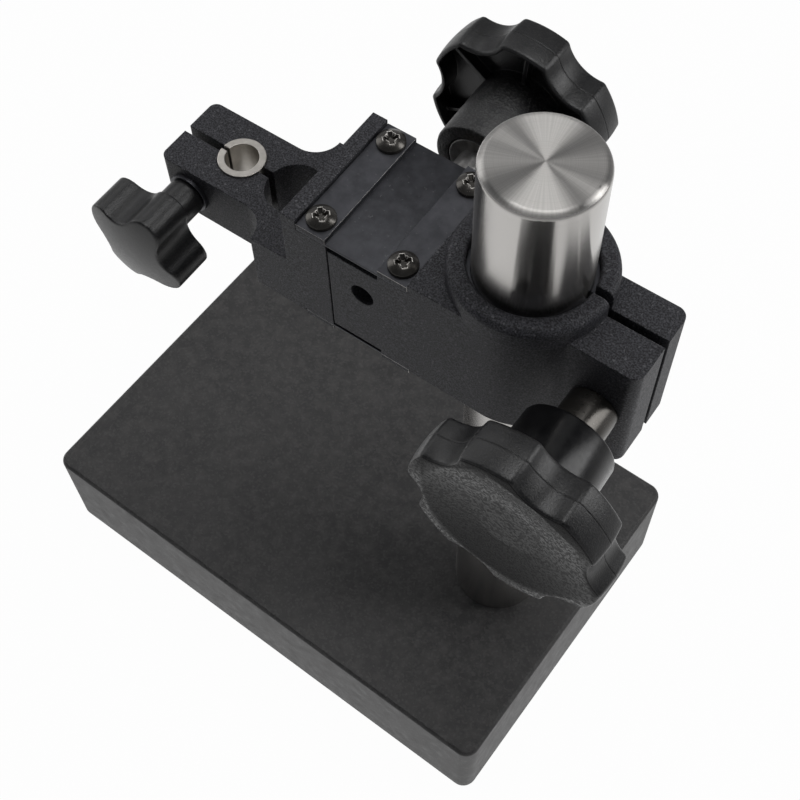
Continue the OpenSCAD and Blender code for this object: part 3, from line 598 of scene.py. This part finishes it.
body_of_node = {n: b for b, ns in frame["record"]["behaviour"]["bodies"].items() for n in ns}
joint_of = {joint["name"]: joint for joint in frame["joints"]}

# %% [markdown]
# A joint of the frame knows where a knob's axis lies, so it also tells where the knob goes. We model
# each knob upright on the Z axis, from its hub's end upwards, and lay it on the axis of its joint.

# %% Lay a knob on its joint
def on_joint(joint, start, up):
    """The turn and place that lay the Z axis on a joint's axis, a start in millimetres along it."""
    axis = Vector(joint_of[joint]["axis"]).normalized()
    upward = Vector((0, 0, up))
    sideways = upward.cross(axis)
    place = Vector(joint_of[joint]["pos_m"]) + axis * start * mm
    columns = (sideways, upward, axis)
    turn = Matrix([[c[row] for c in columns] for row in range(3)]).to_4x4()
    return Matrix.Translation(place) @ turn


print("clamp knob lies at", [round(v, 4) for v in on_joint("clamp_turn", 0, 1).translation])

# %% [markdown]
# All three knobs have a plan of round arcs that run into each other without a corner. We draw such a plan
# like a draughtsman: one point is spun round a first centre, then on round the next, until the line
# closes. The line is filled, and from there the solid grows by extruding and insetting. An inset with a
# depth moves the edge inwards by the same amount everywhere, also in the hollows, so a row of small
# insets makes an even taper or an even rounding.

# %% Helpers for a plan of arcs
def plan_of_arcs(name, start, height, arcs):
    """A flat plate: a point spun round a row of (centre, degrees, steps), in millimetres."""
    only()
    bpy.ops.mesh.primitive_plane_add(size=mm, location=(start[0] * mm, start[1] * mm, height * mm))
    piece = bpy.context.active_object
    piece.name = name
    bpy.ops.object.transform_apply(location=True, rotation=True, scale=True)
    bpy.ops.object.mode_set(mode="EDIT")
    bpy.ops.mesh.select_mode(type="VERT")
    bpy.ops.mesh.select_all(action="SELECT")
    bpy.ops.mesh.merge(type="CENTER")
    for centre, degrees, steps in arcs:
        hub_of_arc = (centre[0] * mm, centre[1] * mm, height * mm)
        bpy.ops.mesh.spin(steps=steps, angle=math.radians(degrees), center=hub_of_arc, axis=(0, 0, -1))
    bpy.ops.mesh.select_all(action="SELECT")
    bpy.ops.mesh.remove_doubles(threshold=0.02 * mm)
    bpy.ops.mesh.edge_face_add()
    if bmesh.from_edit_mesh(piece.data).faces[:][0].normal.z < 0:
        bpy.ops.mesh.flip_normals()
    only()
    return piece


def grow(steps):
    """Insets the picked face by each width and moves it outwards by each depth, in millimetres."""
    for width, depth in steps:
        bpy.ops.mesh.inset(thickness=width * mm, depth=depth * mm)


def polar(radius, degrees):
    """A point at a radius and an angle."""
    return radius * math.cos(math.radians(degrees)), radius * math.sin(math.radians(degrees))


print("a point at 10 mm and 90 degrees:", [round(v, 3) for v in polar(10, 90)])

# %% [markdown]
# The two big knobs are the same moulding. Its rim is a thick plate with six lobes. The arcs of the rim
# and of the flutes are given, and the small arc of each corner touches both, which fixes its centre: it
# lies a corner's radius inside the rim and a corner's radius outside the flute.

# %% Star knob: rim and flutes
KNOB_R = 27.5
KNOB_LOBES = 6
FLUTE_R, FLUTE_PLACE = 10.3, 34.3
CORNER_R = 2.2
HUB_L, RIM_H = 17.7, 12.5
FACE = HUB_L + RIM_H
PARTING = HUB_L + 6.0
PARTING_H, PARTING_DEEP, PARTING_EDGE = 0.24, 0.12, 0.05

inside, outside = KNOB_R - CORNER_R, FLUTE_R + CORNER_R
half = 180 / KNOB_LOBES
aside = math.degrees(math.acos((inside ** 2 + FLUTE_PLACE ** 2 - outside ** 2) / (2 * inside * FLUTE_PLACE)))
rim_half = half - aside
corner = Vector(polar(inside, rim_half))
lean = math.degrees(math.atan2(*reversed(Vector(polar(FLUTE_PLACE, half)) - corner)))
star_arcs = []
for lobe in range(KNOB_LOBES):
    at = 2 * half * lobe
    star_arcs.append(((0, 0), 2 * rim_half, 10))
    star_arcs.append((polar(inside, at + rim_half), lean - rim_half, 7))
    star_arcs.append((polar(FLUTE_PLACE, at + half), -2 * (lean - half), 16))
    star_arcs.append((polar(inside, at + 2 * half - rim_half), lean - rim_half, 7))
star_knob = plan_of_arcs("star_knob", polar(KNOB_R, -rim_half), PARTING - PARTING_H / 2, star_arcs)
print("rim arc", round(2 * rim_half, 1), "degrees, corner arc", round(lean - rim_half, 1), "degrees")

# %% [markdown]
# The rim is widest near its middle, where the two halves of the mould met, and tapers a little to both
# faces. We extrude a narrow band there, grow the front and the back from it with small insets, and sink
# the band as the fine line that every moulding shows. The back goes on inwards: a land, and then a hollow
# with an even wall, because thick plastic would sink while it cools.

# %% Star knob: crowned sides and hollow
FRONT_TAPER = [(0.04, 1.6), (0.12, 1.8), (0.22, 1.78)]
BACK_TAPER = [(0.04, 1.5), (0.12, 1.6), (0.22, 1.58)]
ROUNDING = [(0.07, 0.48), (0.13, 0.36), (0.22, 0.24), (0.32, 0.12)]
HOLLOW = [(0.45, 0.0), (0.12, -0.12), (0.2, -6.2)]
HOLLOW_FLOOR = HUB_L + 6.32

pick(star_knob, "FACE", lambda face: True)
bpy.ops.mesh.extrude_region_move(TRANSFORM_OT_translate={"value": (0, 0, PARTING_H * mm)})
for side, steps in ((1, FRONT_TAPER + ROUNDING), (-1, BACK_TAPER + ROUNDING + HOLLOW)):
    pick(star_knob, "FACE", lambda face: face.normal.z * side > 0.9)
    grow(steps)
pick(star_knob, "FACE", lambda face: abs(face.calc_center_median().z - PARTING * mm) < PARTING_EDGE * mm)
bpy.ops.mesh.inset(thickness=PARTING_EDGE * mm, depth=-PARTING_DEEP * mm)
only()
print("rim:", len(star_knob.data.polygons), "faces")

# %% [markdown]
# The front is a shallow cone with a flat disc at its bottom. One turned tool cuts both: its first ring is
# the disc, and it widens towards the front in a slope. Behind, three thin plates make the six ribs of the
# hollow, and the hub is turned with a rounded end, joined on and bored for its metal insert.

# %% Star knob: dish, ribs and hub
DISH_R, DISH_DEEP = 22.4, 2.2
DISC_R = 9.5
RIB_T, RIB_BACK, RIB_REACH = 1.2, 3.2, 26.4
RIB_OFFSET = 0.01  # a hair's turn in degrees, so that no rib meets a corner of the rim exactly
RIB_SUNK, HUB_SUNK = 0.4, 0.3
HUB_R, HUB_FLARE = 12.9, 0.4
HUB_EDGE, HUB_EDGE_MIDDLE = 0.8, 0.25
INSERT_R, INSERT_L = 8.82, 16.02

bottom = FACE - DISH_DEEP
dish = turned("dish", [(DISC_R - 0.3, bottom), (DISC_R + 0.3, bottom + 0.05), (DISH_R - 0.5, FACE - 0.14),
                       (DISH_R, FACE), (DISH_R + 0.6, FACE + 0.6)], 192)
cut(star_knob, dish)
for plate in range(KNOB_LOBES // 2):
    rib_high = (RIB_REACH, RIB_T / 2, HOLLOW_FLOOR + RIB_SUNK)
    rib = brick("rib", (-RIB_REACH, -RIB_T / 2, HUB_L + RIB_BACK), rib_high)
    cut(star_knob, put(rib, about_z(720 / KNOB_LOBES * plate + RIB_OFFSET)), "UNION")
hub_wide = HUB_R + HUB_FLARE
hub = turned("hub", [(HUB_R - HUB_EDGE, 0), (HUB_R - HUB_EDGE_MIDDLE, HUB_EDGE_MIDDLE), (HUB_R, HUB_EDGE),
                     (hub_wide, HUB_L), (hub_wide, HOLLOW_FLOOR + HUB_SUNK)], 144)
cut(star_knob, hub, "UNION")
cut(star_knob, turned("insert_seat", [(INSERT_R, -1), (INSERT_R, INSERT_L)], 96))
print("knob with dish, ribs and hub:", len(star_knob.data.polygons), "faces")

# %% [markdown]
# The dished front has the coarse grain of the mould and the rim is satin, so the faces of the dish and of
# the hub take finishes of their own. The finished knob is copied with its own mesh: one copy lies on the
# column clamp at the front, the other, with the pebbled hub, on the fine adjustment at the back.

# %% Star knob: finishes and copies
def is_dish(face):
    """Whether a face belongs to the front of the rim, inside its rounded edge."""
    return face.calc_center_median().z > (bottom - 0.5) * mm and face.normal.z > 0.8


def is_hub(face):
    """Whether a face belongs to the hub behind the rim."""
    centre = face.calc_center_median()
    near_axis = centre.xy.length < (hub_wide + 0.1) * mm
    return near_axis and centre.z < HOLLOW_FLOOR * mm


HUB_SLOT = 2
star_knob.data.materials.append(satin_plastic)
for slot, finish, test in ((1, grained_plastic, is_dish), (HUB_SLOT, smooth_plastic, is_hub)):
    star_knob.data.materials.append(finish)
    use_on(star_knob, slot, test)
soften(star_knob, 28)

# piece, node, joint, start along the axis in mm, way up, turn of the lobes in degrees, finish of the hub
STAR_KNOBS = (
    ("clamp_star_knob", "clamp_knob", "clamp_turn", 11.4, 1, 43, smooth_plastic),
    ("fine_star_knob", "fine_knob", "fine_turn", 11.7, -1, -26, pebbled_plastic),
)
for name, node, joint, start, up, lobe_turn, hub_finish in STAR_KNOBS:
    piece = copy_of(name, star_knob.data)
    piece.data.materials[HUB_SLOT] = hub_finish
    put(piece, on_joint(joint, start, up) @ about_z(lobe_turn))
    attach(piece, body_of_node[node])
    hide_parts(node)
    print(name, len(piece.data.polygons), "faces, rides on", body_of_node[node])
bpy.data.objects.remove(star_knob)

# %% [markdown]
# The small knob at the arm's tip clamps the stem. Its plan is simpler: a round tip and a round valley in
# turn, each touching the next. The touch fixes the radius of the valley. The plan is extruded, and a
# turned dome trims its front.

# %% Stem clamp knob: lobes and dome
LOBE_R, LOBE_TIP_R, VALLEY_DEEP = 16.0, 5.3, 5.6
NECK_R, NECK_L, LOBE_H, DOME = 5.6, 10.5, 11.8, 2.6
DOME_RINGS = 10

lobe_top = NECK_L + LOBE_H
valley_floor = LOBE_R - VALLEY_DEEP
tip_place = LOBE_R - LOBE_TIP_R
root_two = math.sqrt(2)
valley_r = ((LOBE_TIP_R ** 2 - tip_place ** 2 + root_two * tip_place * valley_floor - valley_floor ** 2)
            / (2 * valley_floor - root_two * tip_place - 2 * LOBE_TIP_R))
valley_place = valley_floor + valley_r
lean = math.degrees(math.atan2(*reversed(Vector(polar(valley_place, 45)) - Vector((tip_place, 0)))))
lobe_arcs = []
for lobe in range(4):
    lobe_arcs.append((polar(tip_place, 90 * lobe), 2 * lean, 28))
    lobe_arcs.append((polar(valley_place, 90 * lobe + 45), 90 - 2 * lean, 18))
tip_start = Vector((tip_place, 0)) + Vector(polar(LOBE_TIP_R, -lean))
lobe_knob = plan_of_arcs("stem_star_knob", tip_start, NECK_L, lobe_arcs)
pick(lobe_knob, "FACE", lambda face: True)
bpy.ops.mesh.extrude_region_move(TRANSFORM_OT_translate={"value": (0, 0, (LOBE_H + DOME + 1) * mm)})

ball_r = (LOBE_R ** 2 + DOME ** 2) / (2 * DOME)
dome_profile = [(LOBE_R + 1.5, NECK_L - 1), (LOBE_R + 1.5, lobe_top - 0.5)]
for ring in range(DOME_RINGS):
    radius = LOBE_R * (1.02 - ring / DOME_RINGS)
    dome_profile.append((radius, lobe_top + DOME - ball_r + math.sqrt(ball_r ** 2 - radius ** 2)))
cut(lobe_knob, turned("dome", dome_profile, 128), "INTERSECT")
print("valley radius", round(valley_r, 2), "mm, faces", len(lobe_knob.data.polygons))

# %% [markdown]
# This moulding has no sharp edge anywhere, and its neck flows into the lobes. The neck is joined on, the
# whole knob is remeshed in an even fine net, and smoothing the net rounds every edge alike. The seat of
# the clamp screw is bored last, so that it stays crisp.

# %% Stem clamp knob: neck, soft edges and screw seat
NET = 0.24
NECK_EDGE, NECK_FLARE = 0.4, 0.8
SEAT_R = 3.02
LOBE_START, LOBE_TURN = 1.2, 61

flare_r = NECK_R + NECK_FLARE
neck = turned("neck", [(NECK_R - NECK_EDGE, 0), (NECK_R, NECK_EDGE), (NECK_R, NECK_L - NECK_FLARE),
                       (flare_r, NECK_L + 0.1), (flare_r, NECK_L + 2)], 96)
cut(lobe_knob, neck, "UNION")
finish_with(lobe_knob, "REMESH", mode="VOXEL", voxel_size=NET * mm)
finish_with(lobe_knob, "SMOOTH", factor=0.5, iterations=14)
cut(lobe_knob, turned("screw_seat", [(SEAT_R, -1), (SEAT_R, NECK_L + LOBE_H / 2)], 64))
lobe_knob.data.materials.append(satin_plastic)
soften(lobe_knob, 40)
put(lobe_knob, on_joint("stem_clamp_turn", LOBE_START, 1) @ about_z(LOBE_TURN))
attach(lobe_knob, "stem_clamp")
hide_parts("stem_clamp_knob")
print("stem clamp knob:", len(lobe_knob.data.polygons), "faces")

# %% [markdown]
# Two thin leaf springs join the halves of the arm. They are clamped under the bars at both ends, and
# between the bars they bend when the fine knob lifts the front half. A strip has to be cut across before it
# can bend, so its long edges are subdivided.

# %% Leaf springs
ARM_TURN = math.atan2(joint_of["clamp_turn"]["axis"][0], -joint_of["clamp_turn"]["axis"][1])
ARM = Matrix.Translation(joint_of["arm_swing"]["pos_m"]) @ Matrix.Rotation(ARM_TURN, 4, "Z")
REAR_BAR, FRONT_BAR = (23.1, 32.1), (48.2, 57.2)
HALF_W = 20.0
LEAF_CUTS = 30
LEAF_EDGE = 0.1
LEAVES = (("upper_spring", "top_leaf", 36.6, 37.2), ("lower_spring", "bottom_leaf", 0.6, 1.2))


def leaf_spring(name, node, low, high):
    """A strip between two heights of the arm, with its long edges subdivided."""
    piece = brick(name, (-FRONT_BAR[1], -HALF_W, low), (-REAR_BAR[0], HALF_W, high))
    pick(piece, "EDGE", lambda edge: abs((edge.verts[0].co - edge.verts[1].co).x) > 10 * mm)
    bpy.ops.mesh.subdivide(number_cuts=LEAF_CUTS)
    pick(piece, "EDGE", lambda edge: is_sharp(edge, 60))
    bpy.ops.mesh.bevel(offset=LEAF_EDGE * mm, segments=2, affect="EDGES")
    soften(piece, 40)
    piece.data.materials.append(leaf_oxide)
    put(piece, ARM)
    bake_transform(piece)
    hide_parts(node)
    return piece


for name, node, low, high in LEAVES:
    piece = leaf_spring(name, node, low, high)
    print(name, len(piece.data.polygons), "faces")

# %% [markdown]
# Eight pan-head screws hold the bars. A pan head is a low cylinder with a crowned top, and its cross
# recess narrows towards the bottom, so that a driver centres itself. The recess tool starts as a cube
# whose lower face is made smaller; two of them, crossed, cut the recess, and a small cone opens its
# middle. A narrow bevel on its rim is worn bright by the driver.

# %% Pan-head screws
HEAD_R, HEAD_H, SHANK_R, SHANK_L = 4.0, 2.6, 2.0, 10.2
RECESS_L, RECESS_W, RECESS_DEEP = 5.0, 1.4, 1.9
RECESS_EDGE = 0.13
WING_TAPER = (0.45, 0.7, 1)
CROWN_SHARE, CROWN_RINGS, CROWN_STEP = 0.62, 6, 0.18
HEAD_EDGE, CROWN_START = 0.15, 0.985

recess_floor = HEAD_H - RECESS_DEEP
crown = HEAD_H * CROWN_SHARE
crown_r = (HEAD_R ** 2 + crown ** 2) / (2 * crown)
screw_profile = [(SHANK_R, -SHANK_L), (SHANK_R, 0), (HEAD_R - HEAD_EDGE, 0), (HEAD_R, HEAD_EDGE)]
for ring in range(CROWN_RINGS):
    radius = HEAD_R * (1 - CROWN_STEP * ring) * (CROWN_START if ring == 0 else 1)
    screw_profile.append((radius, HEAD_H - crown_r + math.sqrt(crown_r ** 2 - radius ** 2)))
screw = turned("pan_screw", screw_profile, 64)
for wing_turn in (45, 135):
    wing = brick("wing", (-RECESS_L / 2, -RECESS_W / 2, recess_floor), (RECESS_L / 2, RECESS_W / 2, HEAD_H))
    pick(wing, "FACE", lambda face: face.normal.z < -0.5)
    bpy.ops.transform.resize(value=WING_TAPER, center_override=(0, 0, recess_floor * mm))
    pick(wing, "FACE", lambda face: face.normal.z > 0.5)
    bpy.ops.mesh.extrude_region_move(TRANSFORM_OT_translate={"value": (0, 0, 1 * mm)})
    cut(screw, put(wing, about_z(wing_turn)))
cut(screw, turned("recess_middle", [(0.6, recess_floor), (1.65, HEAD_H), (1.9, HEAD_H + 0.5)], 32))


def is_recess_rim(edge):
    """Whether an edge lies where the recess meets the crown."""
    point = middle(edge)
    on_crown = point.z > (HEAD_H - 0.9) * mm and point.xy.length < RECESS_L * 0.56 * mm
    return on_crown and is_sharp(edge, 40)


screw.data.materials.append(glossy_oxide)
screw.data.materials.append(wear_and_highlight_edge)
pick(screw, "EDGE", is_recess_rim)
bpy.ops.mesh.bevel(offset=RECESS_EDGE * mm, segments=2, affect="EDGES", material=1)
soften(screw, 30)
print("screw:", len(screw.data.polygons), "faces")

# %% [markdown]
# The one screw is copied eight times, each copy with its own mesh: four for the rear bars and four for the
# front ones, half of them upside down under the arm. The four of a pair of bars are joined into one
# object, because they always move together.

# %% Pan-head screws in their places
TOP_SEAT, BOTTOM_SEAT, SCREW_Y = 38.8, -1.0, 15.0
SCREW_ROWS = (
    ("rear_pan_screws", "rear_bar_screws", REAR_BAR),
    ("front_pan_screws", "front_bar_screws", FRONT_BAR),
)

for name, node, bar_ends in SCREW_ROWS:
    reach = sum(bar_ends) / 2
    copies = []
    for side in (-1, 1):
        for seat, flip in ((TOP_SEAT, 0), (BOTTOM_SEAT, 180)):
            copy = copy_of(name, screw.data)
            place = Matrix.Translation(Vector((-reach, side * SCREW_Y, seat)) * mm)
            copies.append(put(copy, ARM @ place @ Matrix.Rotation(math.radians(flip), 4, "X")))
    only(copies[0])
    for copy in copies[1:]:
        copy.select_set(True)
    bpy.ops.object.join()
    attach(copies[0], body_of_node[node])
    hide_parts(node)
    print(name, len(copies[0].data.polygons), "faces")
bpy.data.objects.remove(screw)

# %% [markdown]
# The blocks, the bars and the plate are plain machined shapes: their solids are right, but no real edge
# is perfectly sharp. We copy each solid, merge its loose triangles, dissolve the lines that lie flat in a
# face, and bevel what is left sharp. The narrow bevels catch a thin line of light along every edge, and
# on the bars they are bright metal, partly wear and partly a painted highlight. Weighted normals keep the
# large faces shaded flat up to their bevels.

# %% Rounded copies of the machined solids
# width of the bevel in mm, and its own finish if it has one
ROUNDED = {
    "granite_base": (0.35, None),
    "rear_block": (0.3, None),
    "front_block": (0.3, None),
    "rear_clamp_bars": (0.4, wear_and_highlight_edge),
    "front_clamp_bars": (0.4, wear_and_highlight_edge),
    "clamp_spacer": (0.4, None),
    "stem_bush": (0.2, None),
    "column": (0.2, None),
}
SAME_SLOT, WEAR_AND_HIGHLIGHT_SLOT = -1, 1
MERGE_WITHIN, FLAT_WITHIN, SHARP_ABOVE = 0.002, 0.4, 35

for node, (width, edge_finish) in ROUNDED.items():
    piece = copy_of(node + "_rounded", nodes_of_stand[node].data)
    only(piece)
    bpy.ops.object.mode_set(mode="EDIT")
    bpy.ops.mesh.select_all(action="SELECT")
    bpy.ops.mesh.remove_doubles(threshold=MERGE_WITHIN * mm)
    bpy.ops.mesh.dissolve_limited(angle_limit=math.radians(FLAT_WITHIN))
    bpy.ops.object.mode_set(mode="OBJECT")
    edge_slot = SAME_SLOT
    if edge_finish is not None:
        piece.data.materials.append(edge_finish)
        edge_slot = WEAR_AND_HIGHLIGHT_SLOT
    finish_with(piece, "BEVEL", width=width * mm, segments=2, limit_method="ANGLE",
                angle_limit=math.radians(SHARP_ABOVE), material=edge_slot)
    soften(piece, 30)
    finish_with(piece, "WEIGHTED_NORMAL", keep_sharp=True)
    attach(piece, body_of_node[node])
    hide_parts(node)
    print(piece.name, len(piece.data.polygons), "faces")

# %% [markdown]
# A few faces of these copies differ from the rest. The bars' ends are coated like the blocks. Their bevels
# towards the arm's tip keep their black skin: the bright edge is painted only on the bevels that face the
# light, and these lie in shade. The spacer is glossier than the bars, and the top of the column is turned
# instead of ground.

# %% Faces with a finish of their own
BLACK_SLOT, COAT_SLOT = 0, 2
TOP_SLOT = 1


def is_shaded_side_bevel(face):
    """Whether a bright bevel of a bar looks towards the arm's tip, the side in shade, which keeps its black skin.
    """
    return face.material_index == WEAR_AND_HIGHLIGHT_SLOT and face.normal.x < -0.2


for node in ("rear_clamp_bars", "front_clamp_bars"):
    bar = bpy.data.objects[node + "_rounded"]
    # the bevels on the shaded side keep the black skin; the painted highlight stays on the lit ones
    use_on(bar, BLACK_SLOT, is_shaded_side_bevel)
    bar.data.materials.append(coat)
    use_on(bar, COAT_SLOT, lambda face: abs(face.normal.y) > 0.97)
bpy.data.objects["clamp_spacer_rounded"].data.materials[0] = glossy_oxide
column_piece = bpy.data.objects["column_rounded"]
column_piece.data.materials.append(ground_top)
use_on(column_piece, TOP_SLOT, lambda face: face.normal.z > 0.5)
only()
print("bars, spacer and column top have their own finishes")
